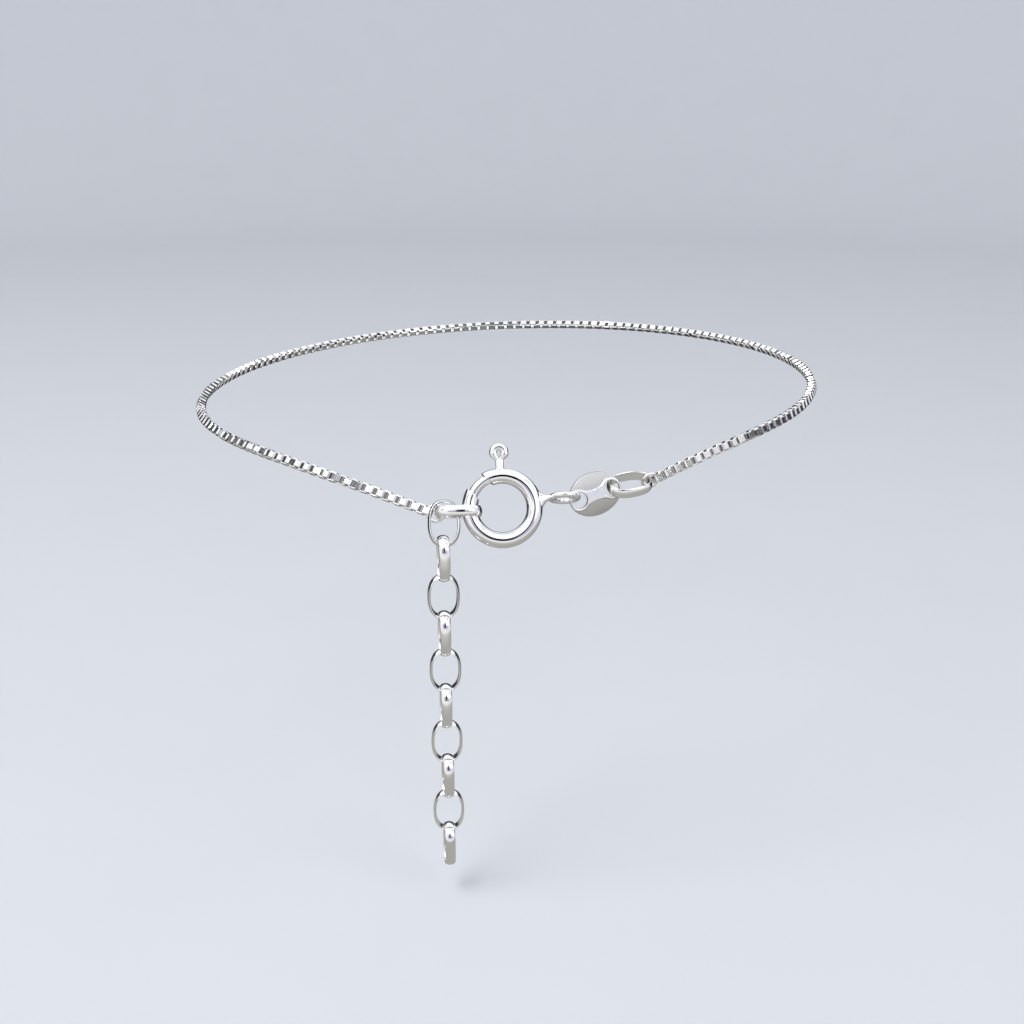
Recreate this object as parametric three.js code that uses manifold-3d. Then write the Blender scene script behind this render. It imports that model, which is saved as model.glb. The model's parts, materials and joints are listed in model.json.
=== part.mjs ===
// Chain anklet in silver: a fine box chain worn as a loop round an ankle, closed at the front by a
// bolt ring clasp that hooks the first link of a hanging extension chain. Lengths are millimetres,
// +Z runs up the limb, the clasp faces -Y, and the origin is the middle of the loop.
import * as THREE from 'three';
import { mergeVertices } from 'three/addons/utils/BufferGeometryUtils.js';
import Module from 'manifold-3d';

const wasm = await Module();
wasm.setup();

const degrees = THREE.MathUtils.degToRad;

// Loop round the limb, measured on the centre line of the chain.
const LOOP_RADIUS = 32.5;
const LIMB_TAPER = 0.566;         // growth of the radius for each millimetre down the limb
const FRONT_DIP = 3.65;           // how far the front hangs below the sides
const DIP_SPREAD = degrees(26.3);
const SIDE_TILT = 1.17;           // how much higher the +X side rides than the middle

// Box chain, drawn as one bar with an eye at each end.
const CHAIN_WIDTH = 0.88;
const CHAIN_CHAMFER = 0.16;
const CHAIN_STEPS = 80;
const ROUTE_POINTS = 36;
const ROUTE_CLEARANCE = degrees(9);   // from an eye to the first point on the even route
const EYE_HOLE = 0.5;
const EYE_THICKNESS = 0.44;
const EYE_TIP = 0.4;                  // chain beyond the middle of the eye's hole
const EYE_SHOULDER = 0.48;            // thinned length before the middle of the hole

// Oval links of the extension, from flat-bottomed wire with a domed outside.
const LINK_LENGTH = 4.12;
const LINK_WIDTH = 2.8;
const LINK_WALL = 0.24;
const LINK_BAND = 0.94;
const LINK_EDGE_DEPTH = 0.2;      // rounding of the band's edges, across the band
const LINK_EDGE_SIZE = 0.08;      // rounding of the band's edges, through the wall
const OVAL_POWER = 2.4;           // 2 is an ellipse, more is squarer
const OVAL_SEGMENTS = 24;
const LINK_NEST = 0.14;           // play of two crossing bands, with the gap between them
const LINK_PITCH = LINK_LENGTH - 2 * LINK_WALL - LINK_NEST;

// Bolt ring clasp: a bent tube, open over a short gap that the sprung bolt closes.
const CLASP_MID_RADIUS = 2.81;
const CLASP_TUBE = 0.69;          // radius of the tube
const CLASP_BORE = 0.52;          // radius of its bore
const CLASP_SEGMENTS = 44;
const CLASP_SIDES = 12;
const GAP_ANGLE = degrees(135);
const GAP_WIDTH = 1.8;
const BOLT_WIRE = 0.44;           // radius of the bolt
const BOLT_START = degrees(74);
const BOLT_TIP = degrees(166);
const BOLT_TRAVEL = degrees(50);
const LEVER_ANGLE = degrees(92);
const LEVER_HEIGHT = 2.2;         // above the tube's outer edge
const LEVER_HEAD = 0.83;          // radius of its rounded head
const LEVER_EYE = 0.2;            // radius of the hole in the head
const LEVER_EYE_OFFSET = 0.1;     // of the hole, outward from the head's middle
const LEVER_NECK = 1.1;           // end of the stem below the head's middle, in head radii
const LEVER_NECK_ANGLE = degrees(128);   // where the head's arc runs into the stem
const LEVER_STEM = 0.36;          // half width of its stem
const LEVER_THICKNESS = 0.38;
const LEVER_EDGE = 0.1;
const SLOT_MARGIN = degrees(9);   // slot beyond the stem's middle, at both ends
const SLOT_WIDTH = 0.52;
const SADDLE_ANGLE = degrees(11.5);
const SADDLE_REACH = 4.2;         // from the clasp's middle to the tip of the solder
const SADDLE_TIP = 0.27;          // radius of the solder at its tip
const SADDLE_FLARE = 0.55;        // what its radius gains towards the tube
const SADDLE_FLATNESS = 0.75;     // its thickness over its width
const SADDLE_STEPS = 5;
const EYE_RING_RADIUS = 1.15;     // centre line of the soldered ring
const EYE_RING_WIRE = 0.24;
const EYE_RING_PLACE = new THREE.Vector3(5.42, 0.78, 0);
const EYE_RING_TURN = degrees(8);

// Tag: an oval plate with a hole at each end and a raised band between the holes.
const TAG_LENGTH = 4.75;
const TAG_WIDTH = 3.8;
const TAG_PLATE = 0.3;
const TAG_RELIEF = 0.07;
const TAG_HOLE = 0.72;            // radius
const TAG_HOLE_SPACING = 3.05;
const TAG_RIM = 0.9;              // half width of the band round a hole
const TAG_WAIST = 0.52;           // half width of the band at its middle
const TAG_SEGMENTS = 36;
const TAG_EDGE = 0.06;            // rounding of the plate's rim
const TAG_BAND_ANGLE = degrees(110);     // where a hole's rim runs into the waist
const TAG_BAND_PULL = 0.55;       // how far out the waist's curve bends, in half hole spacings
const TAG_BAND_INSET = 0.05;      // of the band's ends from the plate's outline

// Small round rings that tie the box chain to its neighbours.
const END_RING_RADIUS = 0.72;     // centre line
const END_RING_WIRE = 0.13;       // radius

// Where the front pieces sit.
const CLASP_ANGLE = degrees(-1.4);
const CLASP_HEIGHT = -3.0;
const CLASP_POSE = { turn: degrees(4), lean: degrees(25) };
const HOOK_ANGLE = degrees(185);  // where the first link wraps the tube
const HOOK_PLAY = 0.12;
const HOOK_YAW = degrees(-3);     // turn of the first link against the clasp's face
const TAG_POSE = { turn: degrees(17), rise: degrees(16), lean: degrees(12) };
const TAG_SHIFT = { x: 0.06, y: -0.3 };
const TIE_LINK_POSE = { turn: degrees(20), rise: degrees(5), lean: degrees(72) };
const TIE_LINK_HOOK = { along: 0.28, lift: -0.02 };
const HUNG_LINK = { along: 1.25, down: 1.03, out: 0.56 };
const HUNG_LINK_POSE = { turn: degrees(3), lean: degrees(28), roll: Math.PI / 2 };
const LEAN_PLAY = 0.36;           // extra play where the run turns from leaning to plumb
const END_RING_BACK = 0.5;        // the left ring sits behind the hung link by this
const END_RING_INSET = 0.09;

// The plumb run of the extension: turn about the vertical and sideways drift of each link.
const PLUMB_LINKS = [
  { turn: 99, aside: -0.10 },
  { turn: 7, aside: -0.14 },
  { turn: 98, aside: -0.11 },
  { turn: 5, aside: -0.08 },
  { turn: 97, aside: -0.08 },
  { turn: 6, aside: -0.04 },
  { turn: 98, aside: 0.00 },
  { turn: 5, aside: 0.03 },
  { turn: 97, aside: 0.04 },
];

const polished = { color: 0xeef0f4, roughness: 0.12, metalness: 1 };
const satin = { color: 0xd6d8da, roughness: 0.38, metalness: 1 };

// ---- solids --------------------------------------------------------------------------------

function toSolid(geometry) {
  const bare = geometry.index ? geometry.toNonIndexed() : geometry.clone();
  bare.deleteAttribute('normal');
  bare.deleteAttribute('uv');
  const merged = mergeVertices(bare, 1e-5);
  return new wasm.Manifold(new wasm.Mesh({
    numProp: 3,
    vertProperties: new Float32Array(merged.attributes.position.array),
    triVerts: new Uint32Array(merged.index.array),
  }));
}

function toGeometry(solid) {
  const mesh = solid.getMesh();
  const geometry = new THREE.BufferGeometry();
  geometry.setAttribute('position', new THREE.BufferAttribute(mesh.vertProperties, 3));
  geometry.setIndex(new THREE.BufferAttribute(mesh.triVerts, 1));
  return geometry;
}

function piece(name, geometry, finish) {
  const mesh = new THREE.Mesh(geometry, new THREE.MeshStandardMaterial(finish));
  mesh.name = name;
  return mesh;
}

function polarPoint(radius, angle) {
  return new THREE.Vector3(radius * Math.cos(angle), radius * Math.sin(angle), 0);
}

// Superellipse about the origin, long axis along X.
function ovalPoints(halfLength, halfWidth, power, segments) {
  return Array.from({ length: segments }, (_, index) => {
    const angle = (2 * Math.PI * index) / segments;
    const along = Math.sign(Math.cos(angle)) * Math.abs(Math.cos(angle)) ** (2 / power);
    const across = Math.sign(Math.sin(angle)) * Math.abs(Math.sin(angle)) ** (2 / power);
    return new THREE.Vector2(halfLength * along, halfWidth * across);
  });
}

// A flat outline extruded symmetrically about its own plane, with rounded rims.
function roundedPlate(shape, thickness, edgeDepth, edgeSize) {
  const geometry = new THREE.ExtrudeGeometry(shape, {
    depth: thickness - 2 * edgeDepth,
    bevelThickness: edgeDepth,
    bevelSize: edgeSize,
    bevelOffset: -edgeSize,
    bevelSegments: 1,
    curveSegments: 10,
  });
  return geometry.translate(0, 0, edgeDepth - thickness / 2);
}

function ringGeometry(radius, wire) {
  return new THREE.TorusGeometry(radius, wire, 8, 24);
}

// ---- placing -------------------------------------------------------------------------------

// A point on the limb's cone, from the angle round from the front and the height.
function onLimb(angle, height) {
  const radius = LOOP_RADIUS - LIMB_TAPER * height;
  return new THREE.Vector3(radius * Math.sin(angle), -radius * Math.cos(angle), height);
}

// Puts an object down with its long axis along local X and its face normal along local Z:
// turn is the long axis's heading, rise its slope, lean tips the face upward, and roll spins
// the object in its own plane.
function seat(object, position, { turn = 0, rise = 0, lean = 0, roll = 0 }) {
  object.position.copy(position);
  object.rotateZ(turn);
  object.rotateY(-rise);
  object.rotateX(Math.PI / 2 - lean);
  object.rotateZ(roll);
  object.updateMatrixWorld(true);
  return object;
}

function worldPoint(object, x, y, z) {
  return object.localToWorld(new THREE.Vector3(x, y, z));
}

// ---- extension links and small rings -------------------------------------------------------

function linkGeometry() {
  const outer = ovalPoints(LINK_LENGTH / 2, LINK_WIDTH / 2, OVAL_POWER, OVAL_SEGMENTS);
  const inner = ovalPoints(
    LINK_LENGTH / 2 - LINK_WALL, LINK_WIDTH / 2 - LINK_WALL, OVAL_POWER, OVAL_SEGMENTS);
  const shape = new THREE.Shape(outer);
  shape.holes.push(new THREE.Path(inner));
  return roundedPlate(shape, LINK_BAND, LINK_EDGE_DEPTH, LINK_EDGE_SIZE);
}

function linkMesh(name) {
  return piece(name, linkGeometry(), polished);
}

// ---- clasp ---------------------------------------------------------------------------------

// Ring sector between two radii, for the slot that the lever slides in.
function sectorGeometry(innerRadius, outerRadius, from, to, thickness) {
  const shape = new THREE.Shape();
  shape.absarc(0, 0, outerRadius, from, to, false);
  shape.absarc(0, 0, innerRadius, to, from, true);
  const settings = { depth: thickness, bevelEnabled: false, curveSegments: 16 };
  return new THREE.ExtrudeGeometry(shape, settings).translate(0, 0, -thickness / 2);
}

function gapCutter() {
  const cutter = new THREE.BoxGeometry(4 * CLASP_TUBE, GAP_WIDTH, 4 * CLASP_TUBE);
  cutter.rotateZ(GAP_ANGLE);
  const middle = polarPoint(CLASP_MID_RADIUS + CLASP_TUBE / 2, GAP_ANGLE);
  return cutter.translate(middle.x, middle.y, 0);
}

// Solder that flares from the soldered ring down onto the tube.
function saddleGeometry() {
  const root = CLASP_MID_RADIUS + (CLASP_BORE + CLASP_TUBE) / 2;
  const profile = [new THREE.Vector2(0, root)];
  for (let step = 0; step <= SADDLE_STEPS; step += 1) {
    const share = step / SADDLE_STEPS;
    const radius = SADDLE_TIP + SADDLE_FLARE * (1 - share) ** 2;
    profile.push(new THREE.Vector2(radius, root + share * (SADDLE_REACH - root)));
  }
  profile.push(new THREE.Vector2(0, SADDLE_REACH));
  const flare = new THREE.LatheGeometry(profile, 16);
  flare.scale(1, 1, SADDLE_FLATNESS);
  return flare.rotateZ(SADDLE_ANGLE - Math.PI / 2);
}

function claspBodyGeometry() {
  const tube = toSolid(new THREE.TorusGeometry(
    CLASP_MID_RADIUS, CLASP_TUBE, CLASP_SIDES, CLASP_SEGMENTS));
  const bore = toSolid(new THREE.TorusGeometry(
    CLASP_MID_RADIUS, CLASP_BORE, CLASP_SIDES, CLASP_SEGMENTS));
  const slot = toSolid(sectorGeometry(
    CLASP_MID_RADIUS, CLASP_MID_RADIUS + 2 * CLASP_TUBE,
    LEVER_ANGLE - BOLT_TRAVEL - SLOT_MARGIN, LEVER_ANGLE + SLOT_MARGIN, SLOT_WIDTH));
  const eyeRing = new THREE.TorusGeometry(EYE_RING_RADIUS, EYE_RING_WIRE, 10, 28);
  eyeRing.rotateX(Math.PI / 2 - EYE_RING_TURN);
  eyeRing.translate(EYE_RING_PLACE.x, EYE_RING_PLACE.y, EYE_RING_PLACE.z);
  const shell = tube.add(toSolid(saddleGeometry())).subtract(bore);
  return toGeometry(shell.add(toSolid(eyeRing)).subtract(slot).subtract(toSolid(gapCutter())));
}

// Round head on a parallel stem, drawn pointing along +X from the clasp's middle.
function leverGeometry() {
  const headMiddle = CLASP_MID_RADIUS + CLASP_TUBE + LEVER_HEIGHT - LEVER_HEAD;
  const neck = headMiddle - LEVER_NECK * LEVER_HEAD;
  const shape = new THREE.Shape();
  shape.moveTo(CLASP_MID_RADIUS, -LEVER_STEM);
  shape.lineTo(neck, -LEVER_STEM);
  shape.absarc(headMiddle, 0, LEVER_HEAD, -LEVER_NECK_ANGLE, LEVER_NECK_ANGLE, false);
  shape.lineTo(neck, LEVER_STEM);
  shape.lineTo(CLASP_MID_RADIUS, LEVER_STEM);
  shape.closePath();
  const eye = new THREE.Path();
  eye.absarc(headMiddle + LEVER_EYE_OFFSET, 0, LEVER_EYE, 0, 2 * Math.PI, true);
  shape.holes.push(eye);
  const lever = roundedPlate(shape, LEVER_THICKNESS, LEVER_EDGE, LEVER_EDGE);
  return lever.rotateZ(LEVER_ANGLE);
}

function claspBoltGeometry() {
  const stops = 20;
  const arc = Array.from({ length: stops + 1 }, (_, index) => (
    polarPoint(CLASP_MID_RADIUS, BOLT_START + ((BOLT_TIP - BOLT_START) * index) / stops)));
  const section = new THREE.Shape();
  section.absarc(0, 0, BOLT_WIRE, 0, 2 * Math.PI, false);
  const wire = new THREE.ExtrudeGeometry(section, {
    steps: stops,
    curveSegments: 10,
    extrudePath: new THREE.CatmullRomCurve3(arc),
  });
  return toGeometry(toSolid(wire).add(toSolid(leverGeometry())));
}

// ---- tag -----------------------------------------------------------------------------------

function punchHoles(shape) {
  for (const side of [-1, 1]) {
    const hole = new THREE.Path();
    hole.absarc((side * TAG_HOLE_SPACING) / 2, 0, TAG_HOLE, 0, 2 * Math.PI, true);
    shape.holes.push(hole);
  }
  return shape;
}

// Band that hugs both holes and narrows smoothly to its waist.
function tagBandShape() {
  const reach = TAG_HOLE_SPACING / 2;
  const pull = TAG_BAND_PULL * reach;
  const rim = polarPoint(TAG_RIM, TAG_BAND_ANGLE);
  const shape = new THREE.Shape();
  shape.absarc(reach, 0, TAG_RIM, -TAG_BAND_ANGLE, TAG_BAND_ANGLE, false);
  shape.quadraticCurveTo(pull, TAG_WAIST, 0, TAG_WAIST);
  shape.quadraticCurveTo(-pull, TAG_WAIST, -reach - rim.x, rim.y);
  shape.absarc(-reach, 0, TAG_RIM, Math.PI - TAG_BAND_ANGLE, Math.PI + TAG_BAND_ANGLE, false);
  shape.quadraticCurveTo(-pull, -TAG_WAIST, 0, -TAG_WAIST);
  shape.closePath();
  return shape;
}

function tagGeometry() {
  const outline = ovalPoints(TAG_LENGTH / 2, TAG_WIDTH / 2, 2, TAG_SEGMENTS);
  const plate = roundedPlate(punchHoles(new THREE.Shape(outline)), TAG_PLATE, TAG_EDGE, TAG_EDGE);
  const bandDepth = { depth: TAG_PLATE / 2 + TAG_RELIEF, bevelEnabled: false, curveSegments: 8 };
  const band = new THREE.ExtrudeGeometry(punchHoles(tagBandShape()), bandDepth);
  const trimOutline = ovalPoints(TAG_LENGTH / 2 - TAG_BAND_INSET, TAG_WIDTH / 2, 2, TAG_SEGMENTS);
  const trimDepth = { depth: TAG_PLATE, bevelEnabled: false };
  const trim = new THREE.ExtrudeGeometry(new THREE.Shape(trimOutline), trimDepth);
  return toGeometry(toSolid(plate).add(toSolid(band).intersect(toSolid(trim))));
}

// ---- box chain -----------------------------------------------------------------------------

function routePoint(angle) {
  const wrapped = Math.atan2(Math.sin(angle), Math.cos(angle));
  const dip = FRONT_DIP * Math.exp(-((wrapped / DIP_SPREAD) ** 2));
  return onLimb(angle, SIDE_TILT * Math.sin(angle) - dip);
}

// From the eye on the +X side round the back of the limb to the eye on the -X side.
function chainPath(startEye, endEye) {
  const from = Math.atan2(startEye.hole.x, -startEye.hole.y) + ROUTE_CLEARANCE;
  const to = 2 * Math.PI + Math.atan2(endEye.hole.x, -endEye.hole.y) - ROUTE_CLEARANCE;
  const points = [startEye.tip];
  for (let index = 0; index < ROUTE_POINTS; index += 1) {
    points.push(routePoint(from + ((to - from) * index) / (ROUTE_POINTS - 1)));
  }
  points.push(endEye.tip);
  return new THREE.CatmullRomCurve3(points);
}

function chainSection() {
  const half = CHAIN_WIDTH / 2;
  const flat = half - CHAIN_CHAMFER;
  return new THREE.Shape([
    [half, -flat], [half, flat], [flat, half], [-flat, half],
    [-half, flat], [-half, -flat], [-flat, -half], [flat, -half],
  ].map(([x, y]) => new THREE.Vector2(x, y)));
}

// The eye at a chain end, in the frame of the ring that passes through it. The ring's plane
// is local XZ and the chain arrives from the side given by `side`.
function chainEye(ring, side) {
  const holeX = side * END_RING_RADIUS;
  return {
    hole: worldPoint(ring, holeX, 0, 0),
    tip: worldPoint(ring, holeX - side * EYE_TIP, 0, 0),
    cutters: eyeCutters(holeX, side).map((cutter) => toSolid(cutter.applyMatrix4(ring.matrixWorld))),
  };
}

function eyeCutters(holeX, side) {
  const drill = new THREE.CylinderGeometry(EYE_HOLE / 2, EYE_HOLE / 2, 3, 12);
  drill.rotateX(Math.PI / 2);
  drill.translate(holeX, 0, 0);
  const length = EYE_SHOULDER + EYE_TIP + 1;
  const middle = holeX + side * (EYE_SHOULDER - length / 2);
  const planes = [-1, 1].map((face) => (
    new THREE.BoxGeometry(length, 3, 1).translate(middle, 0, face * (EYE_THICKNESS / 2 + 0.5))));
  return [drill, ...planes];
}

function boxChainGeometry(startEye, endEye) {
  const bar = new THREE.ExtrudeGeometry(chainSection(), {
    steps: CHAIN_STEPS,
    extrudePath: chainPath(startEye, endEye),
  });
  const cutters = [...startEye.cutters, ...endEye.cutters];
  return toGeometry(cutters.reduce((solid, cutter) => solid.subtract(cutter), toSolid(bar)));
}

// ---- assembly ------------------------------------------------------------------------------

function buildClasp() {
  const clasp = new THREE.Group();
  clasp.add(piece('clasp_body', claspBodyGeometry(), polished));
  clasp.add(piece('clasp_bolt', claspBoltGeometry(), polished));
  return seat(clasp, onLimb(CLASP_ANGLE, CLASP_HEIGHT), CLASP_POSE);
}

// The first link wraps the clasp's tube; its plane is square to the clasp's face.
function buildHookedLink(clasp) {
  const link = linkMesh('extension_link_01');
  const tubeMiddle = polarPoint(CLASP_MID_RADIUS, HOOK_ANGLE);
  const reach = LINK_LENGTH / 2 - LINK_WALL - CLASP_TUBE - HOOK_PLAY;
  link.position.set(
    tubeMiddle.x - reach * Math.cos(HOOK_YAW), tubeMiddle.y, reach * Math.sin(HOOK_YAW));
  link.rotateY(HOOK_YAW);
  link.rotateX(Math.PI / 2);
  clasp.add(link);
  link.updateWorldMatrix(true, false);
  return link;
}

// A ring round a link's end bend, in the plane of the link's long axis and its band.
function buildEndRing(name, link, side, across) {
  const ring = piece(name, ringGeometry(END_RING_RADIUS, END_RING_WIRE).rotateX(Math.PI / 2), polished);
  ring.position.set(side * (LINK_LENGTH / 2 - END_RING_INSET), across, 0);
  link.add(ring);
  ring.updateWorldMatrix(true, false);
  return ring;
}

function buildHungLink(hooked) {
  const link = linkMesh('extension_link_02');
  const place = worldPoint(hooked, -HUNG_LINK.along, HUNG_LINK.out, HUNG_LINK.down);
  return seat(link, place, HUNG_LINK_POSE);
}

function buildPlumbLinks(hung) {
  const start = worldPoint(hung, LEAN_PLAY - LINK_PITCH / 2, 0, 0);
  return PLUMB_LINKS.map(({ turn, aside }, index) => {
    const name = `extension_link_${String(index + 3).padStart(2, '0')}`;
    const drop = LINK_PITCH * (index + 0.5);
    const place = new THREE.Vector3(start.x + aside, start.y, start.z - drop);
    return seat(linkMesh(name), place, { turn: degrees(turn), roll: Math.PI / 2 });
  });
}

function buildTag(clasp) {
  const tag = piece('oval_tag', tagGeometry(), satin);
  const wire = clasp.localToWorld(
    EYE_RING_PLACE.clone().add(new THREE.Vector3(EYE_RING_RADIUS, 0, 0)));
  seat(tag, wire, TAG_POSE);
  tag.position.copy(worldPoint(tag, TAG_HOLE_SPACING / 2 + TAG_SHIFT.x, TAG_SHIFT.y, 0));
  tag.updateMatrixWorld(true);
  return tag;
}

// The oval link between the tag and the box chain: its end bend passes through the tag's hole.
function buildTieLink(tag) {
  const link = linkMesh('tie_link');
  const hole = worldPoint(tag, TAG_HOLE_SPACING / 2, TIE_LINK_HOOK.lift, 0);
  seat(link, hole, TIE_LINK_POSE);
  const reach = LINK_LENGTH / 2 - TIE_LINK_HOOK.along;
  link.position.copy(worldPoint(link, reach, 0, 0));
  link.updateMatrixWorld(true);
  return link;
}

function buildAnklet() {
  const anklet = new THREE.Group();
  const clasp = buildClasp();
  const hooked = buildHookedLink(clasp);
  const leftRing = buildEndRing('chain_end_ring_left', hooked, -1, -END_RING_BACK);
  const hung = buildHungLink(hooked);
  const tag = buildTag(clasp);
  const tie = buildTieLink(tag);
  const rightRing = buildEndRing('chain_end_ring_right', tie, 1, 0);
  const chain = boxChainGeometry(chainEye(rightRing, 1), chainEye(leftRing, -1));
  anklet.add(piece('box_chain', chain, polished));
  anklet.add(clasp, hung, ...buildPlumbLinks(hung), tag, tie);
  return anklet;
}

export default buildAnklet();
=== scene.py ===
"""Looks of a silver chain anklet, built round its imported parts. Lengths are in metres, and a length
property takes its default in millimetres."""
import json
import math

import bpy
import numpy as np
from bpy.props import FloatProperty, FloatVectorProperty, IntProperty, PointerProperty
from mathutils import Matrix, Vector


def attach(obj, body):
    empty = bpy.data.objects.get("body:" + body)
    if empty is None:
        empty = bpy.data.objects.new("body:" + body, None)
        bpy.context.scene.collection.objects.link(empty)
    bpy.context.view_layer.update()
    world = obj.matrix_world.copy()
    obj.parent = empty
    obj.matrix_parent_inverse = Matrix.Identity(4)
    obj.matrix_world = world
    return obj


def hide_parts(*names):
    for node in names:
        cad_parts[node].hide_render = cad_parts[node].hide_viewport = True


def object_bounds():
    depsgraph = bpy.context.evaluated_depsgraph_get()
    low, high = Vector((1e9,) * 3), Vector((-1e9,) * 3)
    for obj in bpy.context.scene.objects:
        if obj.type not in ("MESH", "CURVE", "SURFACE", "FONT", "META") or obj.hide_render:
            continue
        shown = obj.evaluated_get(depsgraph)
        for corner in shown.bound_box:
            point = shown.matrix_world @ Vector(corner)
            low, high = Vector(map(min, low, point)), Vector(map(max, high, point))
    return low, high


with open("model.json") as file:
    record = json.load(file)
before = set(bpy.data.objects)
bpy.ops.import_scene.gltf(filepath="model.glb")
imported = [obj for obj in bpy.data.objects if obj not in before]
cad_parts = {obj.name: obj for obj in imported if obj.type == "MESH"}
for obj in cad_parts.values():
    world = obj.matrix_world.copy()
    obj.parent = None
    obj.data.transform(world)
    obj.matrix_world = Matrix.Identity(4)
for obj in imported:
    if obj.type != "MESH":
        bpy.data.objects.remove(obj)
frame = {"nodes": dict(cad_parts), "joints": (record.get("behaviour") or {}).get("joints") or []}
CAD_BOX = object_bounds()

bl_info = {
    "name": "Silver Chain Anklet",
    "version": (1, 0, 0),
    "blender": (4, 5, 0),
    "location": "View3D > Sidebar > Anklet",
    "description": "Builds the polished surfaces of a silver chain anklet round its packed parts",
    "category": "Object",
}

MM = 0.001
TURN = 2 * math.pi
UP = np.array([0.0, 0.0, 1.0])
OVAL_LINKS = [*(f"extension_link_{number:02d}" for number in range(1, 12)), "tie_link"]
END_RINGS = {"chain_end_ring_right": "tie_link", "chain_end_ring_left": "extension_link_01"}
BOLT_JOINT = frame["joints"][0]
WELD_DISTANCE = 1e-3 * MM


# ---- places, from the frame ----

def unit(vectors):
    """The vectors at length one."""
    return vectors / np.linalg.norm(vectors, axis=-1, keepdims=True)


def node_points(name):
    """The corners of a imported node's mesh."""
    mesh = frame["nodes"][name].data
    points = np.empty(len(mesh.vertices) * 3)
    mesh.vertices.foreach_get("co", points)
    return points.reshape(-1, 3)


def principal_place(name):
    """Middle, axes (rows: longest, middle, thinnest spread) and sizes of a node along those axes."""
    points = node_points(name)
    axes = np.linalg.svd(points - points.mean(0), full_matrices=False)[2]
    axes[2] = np.cross(axes[0], axes[1])
    along = points @ axes.T
    low, high = along.min(0), along.max(0)
    return (low + high) / 2 @ axes, axes, high - low


def clasp_place():
    """Middle and axes of the clasp: the bolt turns about the middle, against the face's normal."""
    normal = -unit(np.array(BOLT_JOINT["axis"], float))
    across = unit(np.cross(UP, normal))
    return np.array(BOLT_JOINT["pos_m"], float), np.stack([across, np.cross(normal, across), normal])


def placed(points, middle, axes):
    """Local points carried to where a piece sits: middle + x axis0 + y axis1 + z axis2."""
    return middle + points @ axes


LINK_SIZE = principal_place("extension_link_06")[2]
RING_SIZE = principal_place("chain_end_ring_left")[2]
TAG_SIZE = principal_place("oval_tag")[2]


# ---- settings ----

def length(name, description, value):
    """A length property whose default is in millimetres."""
    return FloatProperty(name=name, description=description, default=value * MM, unit="LENGTH", precision=5)


def angle(name, description, value):
    """An angle property whose default is in degrees."""
    return FloatProperty(name=name, description=description, default=math.radians(value), subtype="ANGLE")


def plain(name, description, value):
    """A number without a unit."""
    return FloatProperty(name=name, description=description, default=value)


def colour(name, description, value):
    """A colour property."""
    return FloatVectorProperty(
        name=name, description=description, default=value, subtype="COLOR", size=3, min=0, max=1)


class AnkletLinkSettings(bpy.types.PropertyGroup):
    """Oval links from flat-bottomed wire with a domed outside"""
    long: length("Length", "Outside length of a link", LINK_SIZE[0] / MM)
    wide: length("Width", "Outside width of a link", LINK_SIZE[1] / MM)
    band: length("Band", "Width of the wire across the link's plane", LINK_SIZE[2] / MM)
    wall: length("Wall", "Thickness of the wire at its crown", 0.25)
    edge: plain("Edge", "Thickness at the wire's edges, as a share of the crown's", 0.42)
    power: plain("Power", "Superellipse power of the outline; 2 is an ellipse", 2.4)
    seam: length("Seam", "Depth of the soldered seam in each link", 0.012)


class AnkletRingSettings(bpy.types.PropertyGroup):
    """Small round rings that hold the chain's ends"""
    wire: length("Wire", "Diameter of the round wire", RING_SIZE[2] / MM)
    outer: length("Outside", "Outside diameter of the ring", RING_SIZE[0] / MM)


class AnkletClaspSettings(bpy.types.PropertyGroup):
    """Bolt ring: a bent tube with a gap that the sprung bolt closes"""
    radius: length("Radius", "Radius of the tube's centre line", 2.81)
    tube: length("Tube", "Outside radius of the tube", 0.69)
    bore: length("Bore", "Inside radius of the tube", 0.52)
    rim: length("Rim", "Rounding of the tube's cut ends", 0.045)
    gap: length("Gap", "Width of the gap", 1.8)
    gap_angle: angle("Gap angle", "Where the gap sits, counted from the ring's side", 135)
    slot_low: angle("Slot start", "Lower end of the lever's slot", 33)
    slot_high: angle("Slot end", "Upper end of the lever's slot", 101)
    slot: length("Slot", "Width of the lever's slot", 0.52)
    saddle_angle: angle("Saddle angle", "Where the soldered ring sits", 11.5)
    saddle_reach: length("Saddle reach", "Tip of the solder, from the clasp's middle", 4.45)
    saddle_flare: length("Saddle flare", "Half width that the solder gains on the tube", 1.15)
    saddle_tip: length("Saddle tip", "Half width of the solder at the ring", 0.26)
    eye_x: length("Eye x", "Middle of the soldered ring, sideways", 5.42)
    eye_y: length("Eye y", "Middle of the soldered ring, upward", 0.78)
    eye_radius: length("Eye radius", "Centre line radius of the soldered ring", 1.15)
    eye_wire: length("Eye wire", "Radius of the soldered ring's wire", 0.26)
    eye_turn: angle("Eye turn", "Tip of the soldered ring from square to the clasp", 8)


class AnkletBoltSettings(bpy.types.PropertyGroup):
    """The sprung bolt and its thumb lever"""
    wire: length("Wire", "Radius of the bolt", 0.44)
    start: angle("Start", "End of the bolt inside the tube", 74)
    tip: angle("Tip", "End of the bolt past the gap", 166)
    lever: angle("Lever", "Where the lever stands at rest", 92)
    height: length("Height", "Top of the lever above the tube", 2.2)
    head: length("Head", "Outside radius of the lever's head", 0.83)
    eye: length("Eye", "Radius of the hole in the head", 0.17)
    leg: length("Leg", "Half width of each of the lever's two legs", 0.175)
    leg_depth: length("Leg depth", "Half thickness of the legs", 0.175)
    head_depth: length("Head depth", "Half thickness of the head", 0.3)


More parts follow.
